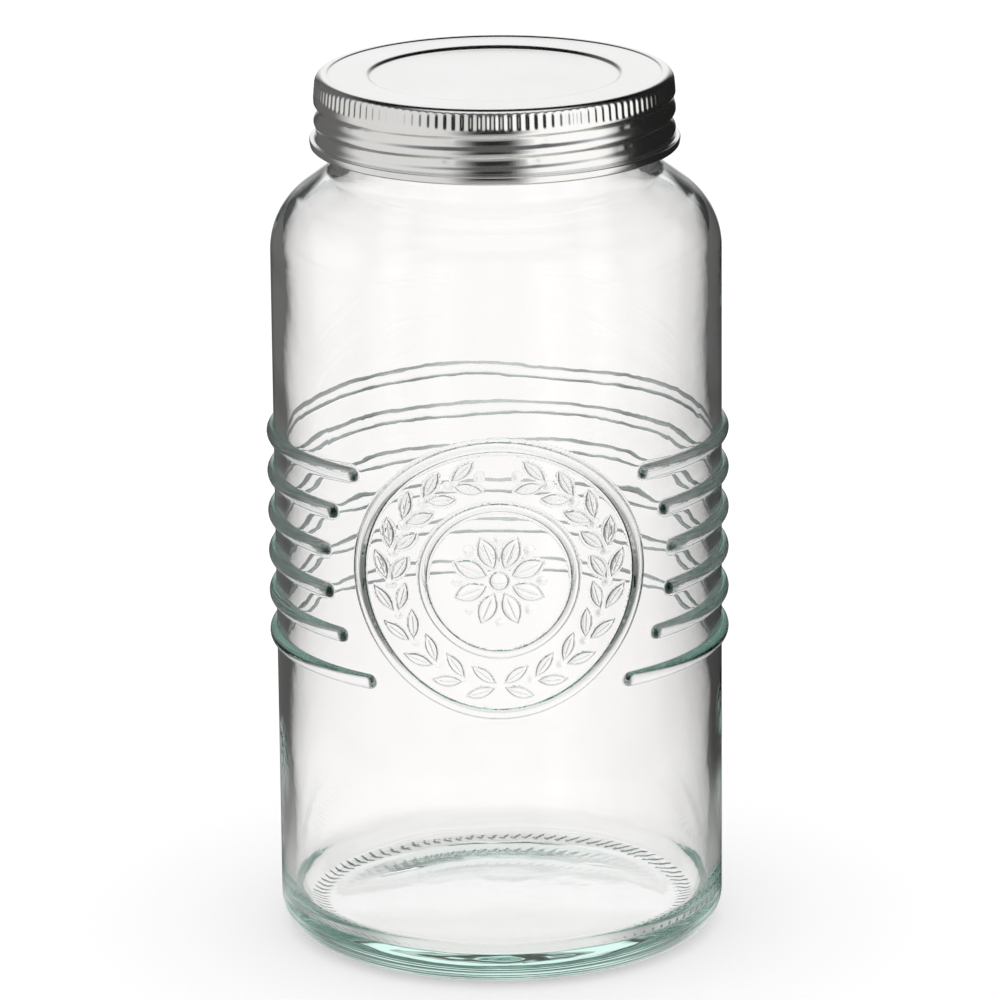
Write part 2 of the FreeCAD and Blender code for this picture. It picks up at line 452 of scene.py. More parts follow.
# %% Bars on the bearing ring
BAR_COUNT = 96
BAR_SHARE = 0.42
BAR_RISE = 0.34
BAR_SLANT = 0.11
BAR_SOFTNESS = 0.22
BAR_ROWS = 7
BAR_ROW_STEP = 0.56
BARS_FADE = -62


def bar_gap(angles, along):
    """How far the face draws back between two bars, along a distance in millimetres."""
    phase = (np.asarray(angles) * BAR_COUNT / 360.0 + BAR_SLANT * along) % 1.0
    away = np.abs(phase - 0.5) * 2
    return BAR_RISE * (1 - np.clip((away - (1 - BAR_SHARE)) / BAR_SOFTNESS, 0, 1))


print("a bar every", 360 / BAR_COUNT, "degrees")

# %% [markdown]
# ## The glass body
#
# The section starts at the middle of the underside, runs out over the bars and
# the heel, up the wall with its relief, over shoulder and neck to the lip, and
# back down the inside to the floor. The rows across a rib are close together
# where the bead turns, and wide apart on the plain wall.

# %% Columns and rows of the jar
FINE_COLUMNS = 204
FINE_REACH = 48.0
COARSE_STEP = 3.0
side_angles = np.arange(FINE_REACH, 360.0 - FINE_REACH, COARSE_STEP)
wall_angles = np.concatenate([
    -FINE_REACH + 2 * FINE_REACH * np.arange(FINE_COLUMNS) / FINE_COLUMNS,
    side_angles])
wall_angles = np.sort((wall_angles + 180.0) % 360.0 - 180.0)
body_angles = even_angles(150)
bar_angles = even_angles(6 * BAR_COUNT)

RIB_ROWS = [0.0, 0.5, 0.95, 1.3, 1.55, 1.7, 1.8, 1.95, 2.15]
RIB_ZONE = 2.35
RELIEF_FOOT, RELIEF_TOP = 67.2, 141.0
ROW_STEP = 0.46
rows = set(np.round(np.arange(RELIEF_FOOT, RELIEF_TOP, ROW_STEP), 3))
for middle in RIB_MIDDLES:
    rows = {row for row in rows if abs(row - middle) > RIB_ZONE}
    rows |= {round(middle + side * row, 3) for row in RIB_ROWS for side in (-1, 1)}
relief_rows = sorted(rows)
print("columns", len(wall_angles), "rows in the relief", len(relief_rows))

# %% [markdown]
# The bars have six columns each, so that their edges stay straight, and they
# fade out where the heel turns up. Above them the columns are only as close as a
# round wall needs, up to the relief.

# %% Outside of the jar
def underside_rings():
    """From the push-up in the middle, over the bars, to where they fade on the heel."""
    foot = BEARING_RADIUS - BEARING_WIDTH
    crown = (foot ** 2 + PUSH_UP ** 2) / (2 * PUSH_UP)
    rings = []
    for radius, columns in ((3, 24), (8, 48), (16, 72), (24, 96), (31, 150),
                            (36, 150), (40, 150), (43, 288)):
        height = PUSH_UP - (crown - math.sqrt(crown ** 2 - radius ** 2))
        rings.append(Ring(even_angles(columns), radius, height))
    rings.append(Ring(bar_angles, foot - 0.5, 0.05 + BAR_RISE * 0.9))
    for radius in (foot, foot + 0.5, foot + 1.0, foot + 1.5, BEARING_RADIUS):
        rings.append(Ring(bar_angles, radius, bar_gap(bar_angles, radius - foot)))
    outline = Outline()
    outline.arc(BEARING_RADIUS, HEEL_RADIUS, HEEL_RADIUS, -90, BARS_FADE, BAR_ROWS)
    for k in range(BAR_ROWS):
        fade = min(1, (BAR_ROWS - k) / 4)
        depth = fade * bar_gap(bar_angles, BEARING_WIDTH + BAR_ROW_STEP * (k + 1))
        rings.append(Ring(bar_angles, outline.radius[k] - depth * outline.out_r[k],
                          outline.height[k] - depth * outline.out_z[k]))
    return rings


def outside_rings():
    """The whole outside up to the neck."""
    heel = Outline()
    heel.arc(BEARING_RADIUS, HEEL_RADIUS, HEEL_RADIUS, BARS_FADE, 0, 12)
    rings = underside_rings() + heel.rings(even_angles(288))[:3]
    rings += heel.rings(body_angles, 3)
    rings += [Ring(body_angles, BODY_RADIUS, z) for z in np.linspace(12, 62, 14)]
    for row in relief_rows:
        relief = wall_relief(wall_angles, row)
        rings.append(Ring(wall_angles, BODY_RADIUS + relief, row))
    rings += [Ring(body_angles, BODY_RADIUS, z) for z in np.linspace(145, WALL_TOP, 9)]
    top = Outline()
    edge = 90 - SHOULDER_SLOPE
    top.arc(BEND_CENTRE, WALL_TOP, SHOULDER_RADIUS, 0, edge, 18)
    top.arc(FILLET_CENTRE, NECK_START, NECK_FILLET, 180 + edge, 180, 7)
    return rings + top.rings(body_angles)


jar_rings = outside_rings()
print("rings outside", len(jar_rings))

# %% [markdown]
# ## Thread, lip and inside
#
# The thread on the neck is a low bead that climbs a little under five
# millimetres a turn, to the right as the lid's rolled thread does. It starts
# and ends in a slow taper. A swept profile could be joined on, but a push of
# the neck's own corners keeps one closed skin. The inside follows the outside
# at an even wall, with the blown unevenness added.

# %% Neck with its thread
THREAD_PITCH = 4.85
THREAD_RISE = 0.9
THREAD_WIDTH = 2.4
THREAD_FIRST, THREAD_LAST = -0.5, 1.35
THREAD_TAPER = 0.09
THREAD_START = 200.2
FLOOR_CROWN = 0.5


def thread_height(angles, height):
    """Rise of the thread's bead at a height on the neck."""
    result = np.zeros(np.shape(angles))
    for turn in (-1, 0, 1, 2):
        share = (angles + 360.0 * turn) / 360.0
        middle = THREAD_START + THREAD_PITCH * share
        taper = np.clip(np.minimum(share - THREAD_FIRST, THREAD_LAST - share)
                        / THREAD_TAPER, 0, 1)
        bump = np.cos(np.clip((height - middle) / THREAD_WIDTH, -0.5, 0.5) * np.pi) ** 2
        result = np.maximum(result, THREAD_RISE * taper * bump)
    return result


def neck_rings():
    """The neck with its thread, and the round lip."""
    rings = [Ring(body_angles, NECK_RADIUS + thread_height(body_angles, height), height)
             for height in np.arange(195.2, 212.9, 0.55)]
    lip = Outline()
    lip.arc(NECK_RADIUS - LIP_ROUND, LIP_HEIGHT - LIP_ROUND, LIP_ROUND, 0, 90, 5)
    lip.arc(NECK_RADIUS - WALL + LIP_ROUND, LIP_HEIGHT - LIP_ROUND, LIP_ROUND, 90, 180, 5)
    return rings + lip.rings(body_angles)


def inside_rings():
    """From the neck down the inner wall to the floor."""
    edge = 90 - SHOULDER_SLOPE
    upper = Outline()
    for height in (209.0, 204.0, 199.0):
        upper.add(NECK_RADIUS - WALL, height, -1, 0)
    upper.arc(FILLET_CENTRE, NECK_START, NECK_FILLET + WALL, 180, 180 + edge, 8, True)
    upper.arc(BEND_CENTRE, WALL_TOP, SHOULDER_RADIUS - WALL, edge, 0, 14, True)
    inner_radius = BODY_RADIUS - WALL
    for height in np.arange(WALL_TOP - 2.0, FLOOR_HEIGHT + FLOOR_CORNER + 1.0, -2.0):
        upper.add(inner_radius, height, -1, 0)
    upper.arc(inner_radius - FLOOR_CORNER, FLOOR_HEIGHT + FLOOR_CORNER, FLOOR_CORNER,
              0, -90, 12, True)
    rings = []
    inner_angles = even_angles(120)
    for radius, height, out_r, out_z in zip(upper.radius, upper.height,
                                            upper.out_r, upper.out_z):
        depth = blown_waves(inner_angles, height) + inner_echo(inner_angles, height)
        rings.append(Ring(inner_angles, radius - depth * out_r, height - depth * out_z))
    for radius, columns in ((41, 120), (36, 120), (30, 96), (23, 72), (16, 48), (8, 24)):
        angles = even_angles(columns)
        lift = FLOOR_CROWN * (1 - (radius / 45.0) ** 2) + blown_waves(angles, radius)
        rings.append(Ring(angles, radius, FLOOR_HEIGHT + lift))
    return rings


jar_rings += neck_rings() + inside_rings()
jar = mesh_piece("glass_jar", jar_rings, PUSH_UP, FLOOR_HEIGHT + FLOOR_CROWN)

# %% [markdown]
# ## The lid
#
# The real lid is one disc of tinned steel, pressed and then rolled. Its top has
# a shallow step, its corner is crimped into 132 flutes, and below them runs a
# rolled thread of a turn and a half. The edge is curled outwards and in again,
# which leaves a bright hem. One flute could be made and repeated by an Array
# modifier, but the thread climbs and would not repeat with it. So the lid is
# made of rings as well. Its section follows the outside, the curl and then the
# inside, a sheet's thickness away.

# %% Section of the lid
LID_RADIUS = 43.9
LID_TOP = TOTAL_HEIGHT
RIM_RISE = 0.35
PANEL_DROP = 0.8
SHEET = 0.4
LID_CORNER = 2.5
FLUTES = 132
FLUTE_DEPTH = 0.23
FLUTE_INSET = 0.1
FLUTE_LEAN = 0.2
SKIRT_LEAN = 0.17
GROOVE_DEPTH = 0.88
GROOVE_PITCH = 4.85
FIRST_GROOVE = 7.9
HEM_RADIUS = 0.8
HEM_OUTSIDE = 45.0
LID_DEPTH = 17.9


def smooth(value, low, high):
    """0 below low, 1 above high, and an even curve between."""
    share = np.clip((value - low) / (high - low), 0, 1)
    return share * share * (3 - 2 * share)


def groove_depth(angles, below):
    """Depth of the rolled thread at a distance below the lid's top."""
    angles = np.asarray(angles, float)
    result = np.zeros(angles.shape)
    for turn in (-2, -1, 0, 1):
        share = angles / 360.0 + turn
        middle = FIRST_GROOVE - GROOVE_PITCH * share
        strength = smooth(share, -1.32, -1.18) * (1 - smooth(share, 0.16, 0.34))
        away = np.abs(below - middle)
        wide = 1 - smooth(away, 0.35, 2.35)
        result = np.maximum(result, GROOVE_DEPTH * strength * wide)
    return result


def flute_heights(angles):
    """Round flutes side by side, from 0 in a valley to 1 on a crest."""
    return 0.5 + 0.5 * np.cos(np.radians(np.asarray(angles) * FLUTES))


fine = even_angles(8 * FLUTES)
rolled = even_angles(2 * FLUTES)
plain = even_angles(FLUTES)


def lid_top_rings():
    """The sunk panel, its step, the flat ring round it and the raised rim."""
    rings = []
    flat = LID_TOP - RIM_RISE
    for radius, columns in ((6, 33), (14, 66), (22, 66), (27, 132)):
        rings.append(Ring(even_angles(columns), radius, flat - PANEL_DROP))
    for radius, drop in ((29.2, 0.79), (29.8, 0.74), (30.2, 0.6), (30.5, 0.42), (30.8, 0.22),
                         (31.2, 0.06), (31.8, 0.0), (35, 0.0)):
        rings.append(Ring(plain, radius, flat - drop))
    for radius, share in ((39, 0), (39.9, 0), (40.15, 0.08), (40.35, 0.3), (40.55, 0.62),
                          (40.75, 0.9), (41.0, 1.0)):
        rings.append(Ring(rolled, radius, flat + RIM_RISE * share))
    return rings


def lid_flute_rings():
    """The corner and the band of flutes below it."""
    rings = []
    centre = LID_RADIUS - FLUTE_INSET - LID_CORNER
    for turn in (80, 70, 60, 52, 44, 36, 27, 18, 9, 0):
        c, s = cos_sin(turn)
        strength = smooth(90 - turn, 46, 76)
        depth = FLUTE_DEPTH * strength * (1 - flute_heights(fine))
        reach = LID_CORNER - depth
        lean = FLUTE_LEAN * smooth(90 - turn, 0, 90)
        rings.append(Ring(fine, centre - lean + reach * c, LID_TOP - LID_CORNER + reach * s))
    for below, strength in ((3.1, 1), (3.7, 1), (4.2, 1), (4.5, 0.8), (4.75, 0.4),
                            (4.95, 0.12), (5.1, 0)):
        depth = FLUTE_DEPTH * strength * (1 - flute_heights(fine))
        lean = FLUTE_LEAN * (1 - smooth(below, 2.0, 5.1))
        rings.append(Ring(fine, LID_RADIUS - FLUTE_INSET - lean - depth, LID_TOP - below))
    return rings


lid_rings = lid_top_rings() + lid_flute_rings()
print("lid rings so far", len(lid_rings))

# %% [markdown]
# The thread starts high on the right of the lid, where it runs out of the
# flutes, and sinks to the left until it fades above the hem. Rollers press it
# step by step, which leaves short pairs of dents along it.

# %% Rolled skirt, hem and underside
DENTS = [(-55, 7.75), (-46, 7.7), (-18, 7.7), (-15.4, 7.7), (15, 7.6), (16.8, 7.6),
         (44.6, 7.5), (46.4, 7.5), (-54, 12.5), (-15, 12.5), (12, 12.45), (14.2, 12.45),
         (43, 12.35), (48, 12.35), (88, 9.0), (121, 8.6), (160, 8.2), (-90, 9.1),
         (-128, 9.6), (-165, 10.2), (92, 11.9), (133, 11.3), (172, 10.8)]
DENT_DEPTH, DENT_WIDTH, DENT_HEIGHT = 0.16, 0.42, 0.75


def dents(angles, below):
    """Depth of the rollers' dents, each placed by its angle and its distance below the top."""
    total = np.zeros(np.shape(angles))
    for angle, dent_below in DENTS:
        aside = np.radians(angles - angle) * LID_RADIUS
        total += DENT_DEPTH * np.exp(-(aside / DENT_WIDTH) ** 2
                                     - ((below - dent_below) / DENT_HEIGHT) ** 2)
    return total


def lid_skirt_rings():
    """The skirt with its rolled thread, down to where it curls."""
    rings = []
    for below in np.arange(5.35, 15.45, 0.28):
        depth = groove_depth(rolled, below) + dents(rolled, below)
        lean = SKIRT_LEAN * smooth(below, 13.2, 16.0)
        rings.append(Ring(rolled, LID_RADIUS - depth - lean, LID_TOP - below))
    for below, inset in ((15.55, 0.19), (15.72, 0.3), (15.86, 0.22)):
        rings.append(Ring(plain, LID_RADIUS - inset, LID_TOP - below))
    return rings


def hem_rings():
    """The curl, from the skirt out, down, and back in and up."""
    hem = Outline()
    middle = HEM_OUTSIDE - HEM_RADIUS
    bottom = LID_TOP - LID_DEPTH + HEM_RADIUS
    hem.arc(44.62, LID_TOP - 16.22, 0.38, 125, -6, 9)
    hem.arc(middle - 0.08, bottom, HEM_RADIUS, -6, -180, 12)
    hem.arc(middle, bottom, HEM_RADIUS, -180, -215, 2)
    return hem.rings(plain)


def lid_underside_rings():
    """The inside, which follows the outside up the skirt and under the panel."""
    rings = []
    for below in np.arange(16.0, 5.2, -0.6):
        depth = groove_depth(plain, below)
        rings.append(Ring(plain, LID_RADIUS - SHEET - FLUTE_INSET - depth, LID_TOP - below))
    for radius, below in ((43.0, 4.2), (42.9, 2.9), (42.5, 1.4), (41.4, 0.62), (40.7, 0.5),
                          (40.0, 0.75), (31.9, 0.75), (31.0, 0.95), (30.2, 1.4),
                          (29.5, 1.55), (22, 1.55), (12, 1.55)):
        rings.append(Ring(plain, radius, LID_TOP - below))
    return rings


lid_rings += lid_skirt_rings() + hem_rings() + lid_underside_rings()
panel_top = LID_TOP - RIM_RISE - PANEL_DROP
lid = mesh_piece("screw_lid", lid_rings, panel_top, panel_top - SHEET)

# %% [markdown]
# ## The liner
#
# A ring of soft compound sits inside the lid and seals it on the jar's lip. A
# flattened torus would be quicker, but the real one lies flat on both faces and
# is round only at its corners, because it is poured as a liquid. So its section
# is four quarter circles, and the lines between them close by themselves.

# %% Liner ring
LINER_INNER, LINER_OUTER = 35.6, 41.15
LINER_TOP, LINER_BOTTOM = 215.24, 214.42
LINER_EDGE = 0.3


def liner_rings():
    """Four rounded corners, from the outer one at the bottom."""
    section = Outline()
    outer, inner = LINER_OUTER - LINER_EDGE, LINER_INNER + LINER_EDGE
    top, bottom = LINER_TOP - LINER_EDGE, LINER_BOTTOM + LINER_EDGE
    for radius, height, first in ((outer, bottom, -90), (outer, top, 0),
                                  (inner, top, 90), (inner, bottom, 180)):
        section.arc(radius, height, LINER_EDGE, first, first + 90, 4)
    return section.rings(even_angles(144))


liner = mesh_piece("sealing_liner", liner_rings(), None, None)

# %% [markdown]
# ## Shader maths
#
# A finish could be wired by hand in the shader editor, but a formula says the
# same in one line. So a small class wraps a socket, and shader maths reads like
# ordinary Python. Numbers on their own are worked out in Python first. Any
# other node comes from `Finish.node`, with its settings and its sockets.

# %% Sockets with operators
class Value:
    """A number that varies over a surface, with the usual operators."""

    def __init__(self, tree, socket):
        self.tree, self.socket = tree, socket

    def math(self, operation, *others, swap=False):
        """A Math node of this value and the others, the other way round if swapped."""
        node = self.tree.nodes.new("ShaderNodeMath")
        node.operation = operation
        terms = [self, *others]
        if swap:
            terms.reverse()
        for slot, term in zip(node.inputs, terms):
            if isinstance(term, Value):
                self.tree.links.new(term.socket, slot)
            else:
                slot.default_value = term
        return Value(self.tree, node.outputs[0])

    def __add__(self, other):
        return self.math("ADD", other)

    def __sub__(self, other):
        return self.math("SUBTRACT", other)

    def __rsub__(self, other):
        return self.math("SUBTRACT", other, swap=True)

    def __mul__(self, other):
        return self.math("MULTIPLY", other)

    def clamp(self):
        return self.math("MINIMUM", 1.0).math("MAXIMUM", 0.0)

    def between(self, low, high):
        """0 at low, 1 at high, straight between them."""
        return ((self - low) * (1.0 / (high - low))).clamp()

    __radd__ = __add__
    __rmul__ = __mul__


class Finish:
    """One material or world under construction."""

    def __init__(self, owner):
        owner.use_nodes = True
        self.tree = owner.node_tree
        self.tree.nodes.clear()

    def node(self, kind, settings=None, **sockets):
        """A node by type, with its settings, and values or links by socket name or i0, i1 ..."""
        made = self.tree.nodes.new("ShaderNode" + kind)
        for key, value in (settings or {}).items():
            setattr(made, key, value)
        for key, value in sockets.items():
            socket = made.inputs[int(key[1:]) if key[1:].isdigit() else key.replace("_", " ")]
            if isinstance(value, Value):
                self.tree.links.new(value.socket, socket)
            elif isinstance(value, bpy.types.NodeSocket):
                self.tree.links.new(value, socket)
            else:
                socket.default_value = value
        return made

    def value(self, socket):
        return Value(self.tree, socket)

    def place(self, kind="Object"):
        """The place on a piece, or with "Generated" the direction in the world."""
        return self.node("TexCoord").outputs[kind]

    def split(self, vector):
        """x, y and z of a vector."""
        parts = self.node("SeparateXYZ", Vector=vector)
        return [self.value(socket) for socket in parts.outputs]

    def noise(self, where, scale, detail=2.0, roughness=0.5):
        """Soft spots from 0 to 1 at a scale in spots to the metre."""
        made = self.node("TexNoise", Scale=scale, Detail=detail, Roughness=roughness,
                         Vector=where)
        return self.value(made.outputs["Fac"])

    def blend(self, factor, first, second):
        """Colour mix of two sockets or colours."""
        return self.node("Mix", {"data_type": "RGBA"}, i0=factor, i6=first,
                         i7=second).outputs[2]

    def show(self, shader, kind="OutputMaterial"):
        """The output node, which shows a shader's first output."""
        end = self.node(kind)
        self.tree.links.new(shader.outputs[0], end.inputs["Surface"])
        return end


def material(name):
    """A new material, and the finish that builds its nodes."""
    made = bpy.data.materials.new(name)
    return made, Finish(made)


def give(piece, finish):
    """Puts a finish on a piece."""
    piece.data.materials.append(finish)
    print(piece.name, "in", finish.name, "of", len(finish.node_tree.nodes), "nodes")


# %% [markdown]
# ## Clear glass
#
# Light passes the surface and is coloured inside, so the tint is a volume: it
# takes away red first, then a little blue, which leaves the green that shows
# where the glass is thick. The face itself stays clear. A fine uneven bump
# stands for the fire-polished ripple that moulded glass always has.
#
# The mould's cuts leave a sharp crease at the foot of everything raised, finer
# than the mesh. The crease is a thin V in the same bump, drawn where the
# distance to an outline is nearly zero. Distances come from the place on the
# glass: x and z seen from the front, and the turn round the medallion, which
# is folded so that one leaf pair and one petal serve for all.

# %% Creases round the relief
CREASE = 0.38


def crease(distance, strength=1.0):
    """A sharp V where the distance to an outline, in millimetres, is zero."""
    near = (1 - distance.math("ABSOLUTE") * (1 / CREASE)).clamp()
    return near * near * strength


def lens(along, aside, length, width):
    """Crease round a pointed leaf, with a fainter one down its middle."""
    share = along * (2 / length)
    edge = (1 - share * share) * (width / 2)
    away = aside.math("ABSOLUTE")
    vein = crease(aside * 1.3, 0.4) * (1 - share.math("ABSOLUTE").between(0.5, 0.8))
    return crease(away - edge).math("MAXIMUM", vein)


def medallion_creases(x, z):
    """All outlines in the medallion, from places in millimetres."""
    reach = (x * x + z * z).math("SQRT")
    lines = crease(reach - OUTER_RING / 2)
    for radius in (OUTER_RING / 2 - OUTER_RING_WIDTH, INNER_RING / 2,
                   INNER_RING / 2 - INNER_RING_WIDTH):
        lines = lines.math("MAXIMUM", crease(reach - radius))

    growth = x.math("ABSOLUTE").math("ARCTAN2", z * -1.0) * (180 / math.pi) - FIRST_PAIR
    pair = (growth * (1 / PAIR_STEP)).math("ROUND").math("MAXIMUM", 0.0)
    turn = (growth - pair.math("MINIMUM", LEAF_PAIRS - 1.0) * PAIR_STEP) * (math.pi / 180)
    forward, outward = reach * turn.math("SINE"), reach * turn.math("COSINE")
    c, s = cos_sin(LEAF_SPREAD)
    for side in (-1, 1):
        off = outward - (BAND_MIDDLE + side * LEAF_SHIFT)
        lines = lines.math("MAXIMUM", lens(forward * c + off * (side * s),
                                           off * c - forward * (side * s),
                                           LEAF_LENGTH, LEAF_WIDTH))
    fold = ((x.math("ARCTAN2", z) * (PETALS / (2 * math.pi))).math("FRACT") - 0.5).math(
        "MULTIPLY", 2 * math.pi / PETALS)
    lines = lines.math("MAXIMUM", lens(reach * fold.math("COSINE") - PETAL_PLACE,
                                       reach * fold.math("SINE"), PETAL_LENGTH, PETAL_WIDTH))
    return lines.math("MAXIMUM", crease(reach - BOSS_WIDTH / 2))


# %% [markdown]
# The creases cost time, so a hard mask keeps them to the front of the wall round
# the medallion. Both faces share one volume, because light that enters the jar
# in one place leaves it in another.

# %% Glass finish
CREASED_REACH = OUTER_RING / 2 + 1.5
CREASED_DEPTH = -30.0
OUTER_FACE = BODY_RADIUS - 1.5


def glass_material():
    """Glass with a tinted volume, and with creases only where the medallion is."""
    made, f = material("clear_glass")
    place = f.place()
    x, y, z = (part * (1 / MM) for part in f.split(place))
    z = z - MEDALLION_HEIGHT
    ripple = f.noise(place, 95.0) * 0.07
    faces = []
    for height in (ripple, ripple - medallion_creases(x, z)):
        bump = f.node("Bump", Height=height, Strength=1.0, Distance=0.0006)
        face = f.node("BsdfPrincipled", Base_Color=(1, 1, 1, 1), Roughness=0.0, IOR=1.52,
                      Transmission_Weight=1.0, Normal=bump.outputs["Normal"])
        faces.append(face.outputs["BSDF"])
    zone = ((x * x + z * z).math("LESS_THAN", CREASED_REACH ** 2)
            * y.math("LESS_THAN", CREASED_DEPTH)
            * (x * x + y * y).math("GREATER_THAN", OUTER_FACE ** 2))
    end = f.show(f.node("MixShader", i0=zone, i1=faces[0], i2=faces[1]))
    tint = f.node("VolumeAbsorption", Color=(0.0, 0.80, 0.60, 1), Density=3.6)
    f.tree.links.new(tint.outputs["Volume"], end.inputs["Volume"])
    return made


give(jar, glass_material())

# %% [markdown]
# ## Tinned steel
#
# The top of the lid is satin: its light is spread, so it looks almost white.
# The skirt was burnished by the rollers and is a mirror with fine upright
# lines. Two materials would meet in a hard edge on the rounded corner, so one
# does both. How much the face looks up is the mask between them, and lines that
# are stretched along the height make the brush marks.

# %% Lid finish
def steel_material():
    """Satin where it looks up, burnished and brushed elsewhere."""
    made, f = material("tinned_steel")
    place = f.place()
    facing_up = f.split(f.node("NewGeometry").outputs["Normal"])[2]
    top = facing_up.between(0.72, 0.97)
    lines = f.node("Mapping", Vector=place, Scale=(1.0, 1.0, 0.035))
    brushed = f.noise(lines.outputs["Vector"], 2600.0, 2.0, 0.6)
    grain = f.noise(place, 900.0, 3.0, 0.6)
    smudge = f.noise(place, 32.0)
    rough = top * 0.12 + smudge * 0.05 + brushed * (1 - top) * 0.12 + 0.08
    relief = brushed * (1 - top) + grain * top * 0.6
    bump = f.node("Bump", Height=relief, Strength=0.12, Distance=0.00003)
    colour = f.blend(smudge.between(0.35, 0.7), (0.86, 0.86, 0.85, 1),
                     (0.91, 0.91, 0.905, 1))
    f.show(f.node("BsdfPrincipled", Base_Color=colour, Metallic=1.0, Roughness=rough,
                  Normal=bump.outputs["Normal"]))
    return made


give(lid, steel_material())

# %% [markdown]
# ## Sealing compound
#
# The liner is a soft white compound, a little mottled and matt, with the faint
# unevenness of something poured. One plain colour would do while the lid is
# shut, but the piece should also look right by itself, and one noise is enough
# for colour, roughness and unevenness together.

# %% Liner finish
def compound_material():
    """Mottled, matt and slightly uneven."""
    made, f = material("white_compound")
    place = f.place()
    mottle = f.noise(place, 140.0, 3.0)
    colour = f.blend(mottle.between(0.3, 0.7), (0.80, 0.79, 0.75, 1), (0.86, 0.855, 0.83, 1))
    bump = f.node("Bump", Height=mottle, Strength=0.25, Distance=0.0002)
    f.show(f.node("BsdfPrincipled", Base_Color=colour, Roughness=mottle * 0.2 + 0.42,
                  Normal=bump.outputs["Normal"]))
    return made


give(liner, compound_material())

# %% [markdown]
# ## The pieces take their places
#
# Each piece stands for one node of the construction model and rides on the one
# body there is, because nothing on a shut jar moves.

# %% Ride and replace
for piece, node, slot in ((jar, "jar_body", "glass"), (lid, "lid", "lid_metal"),
                          (liner, "lid_liner", "liner")):
    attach(piece, "root")
    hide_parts(node)
    print(piece.name, "stands for", node)

# %% [markdown]
# ## Studio
#
# Clear glass is only seen by what it bends and mirrors. In a studio a white
# sheet stands behind it and black boards beside it, so that its edges draw
# themselves dark. Boards could stand on the table as planes, but they would
# also show through the glass. Here the world does their work by direction: it
# is white for the camera, while light that has passed or been mirrored by the
# jar sees sheets and boards. The same boards give the metal its stripes.

# %% Sheets and boards, by direction
def panel(turn, start, end, soft):
    """A board between two angles, 1 inside, with soft edges in degrees."""
    return turn.between(start - soft, start + soft) * (1 - turn.between(end - soft, end + soft))


def boards(turn):
    """What a mirror in the jar's place sees round about: grey left, white right, else dark."""
    return (panel(turn, -110, -21, 9) * 0.74 + panel(turn, 18, 84, 8) * 1.08
            + panel(turn, -160, -110, 8) * 0.12 + 0.015)


def white_sheet(aside):
    """What light sees that passes straight through: white sheets, with grey gaps between."""
    off = (aside.math("ABSOLUTE") * (1 / 90.0)).math("FRACT") * 90.0
    gap = off.between(19, 30) * (1 - off.between(60, 71))
    shade = aside.between(3, 18) * (1 - aside.between(60, 80)) * 0.24
    return 1.05 - gap * 0.68 - shade * (1 - gap)


def inside_boards(turn):
    """What light sees that was turned back inside the glass before it left."""
    side = turn.math("ABSOLUTE")
    return panel(side, 50, 68, 4) * 0.75 + panel(side, 84, 128, 6) * 0.5 + 0.09


def ray_kinds(f):
    """Shares for camera, mirrored, passed, and turned back inside."""
    path = f.node("LightPath")
    seen, mirrored, passed = (f.value(path.outputs["Is %s Ray" % kind])
                              for kind in ("Camera", "Glossy", "Transmission"))
    turned = f.value(path.outputs["Glossy Depth"]).clamp()
    return seen, mirrored * (1 - passed), passed * (1 - turned), passed * turned


def tinted(f, tone, level):
    """A colour at a level that varies."""
    return f.node("VectorMath", {"operation": "SCALE"}, i0=tone, Scale=level).outputs[0]


# %% [markdown]
# Light that was turned back inside the glass shows at the edges, the ribs and
# the heel. For it a low and a high band of the sky are bright, mostly at the
# back, which puts bright lines beside the dark ones.

# %% World above the table
def studio_world():
    """Plain white for the camera, and a level by direction for every other ray."""
    world = bpy.data.worlds.new("studio")
    bpy.context.scene.world = world
    f = Finish(world)
    x, y, z = f.split(f.place("Generated"))
    turn = x.math("ARCTAN2", y * -1.0) * (180 / math.pi)
    aside = x.math("ARCTAN2", y) * (180 / math.pi)
    lift = z.math("ARCSINE") * (180 / math.pi)
    seen, mirrored, passed, turned = ray_kinds(f)

    back = turn.math("ABSOLUTE")
    backdrop = back.between(160, 172) * (1 - lift.between(38, 48))
    front = 1 - back.between(80, 120)
    overhead = (lift.between(2, 30) * 0.10 + lift.between(56, 66) * 0.88) * front
    mirror_level = (boards(turn) * (1 - lift.between(34, 46))).math(
        "MAXIMUM", backdrop).math("MAXIMUM", overhead)
    high = back.between(130, 155) * 0.5 + 0.2
    passed_level = white_sheet(aside) * (1 - lift.between(12, 24)) + high * lift.between(12, 24)
    raised = (back.between(135, 155) * (panel(lift, 9, 28, 3) + lift.between(44, 50) * 0.7)
              + (1 - back.between(30, 55)) * (1 - lift.between(40, 60)) * 0.6)
    streaks = panel(lift, 2, 26, 3) * 0.8 + panel(lift, 44, 60, 3) * 0.8 + 0.15
    spread = 1 - (seen + mirrored + passed + turned).clamp()
    level = (seen + mirrored * mirror_level + passed * passed_level
             + turned * (inside_boards(turn) * streaks + raised) + spread * 0.85)
    f.show(f.node("Background", Color=tinted(f, (1.0, 1.0, 1.0), level)), "OutputWorld")
    world.cycles.sampling_method = "NONE"
    return world


print("world", studio_world().name)

# %% [markdown]
# The camera looks down a little, so most of what the jar bends or mirrors is
# the table. The table therefore carries the same boards, as if they stood on
# its far parts, and is plain white paper close to the jar and for the camera.

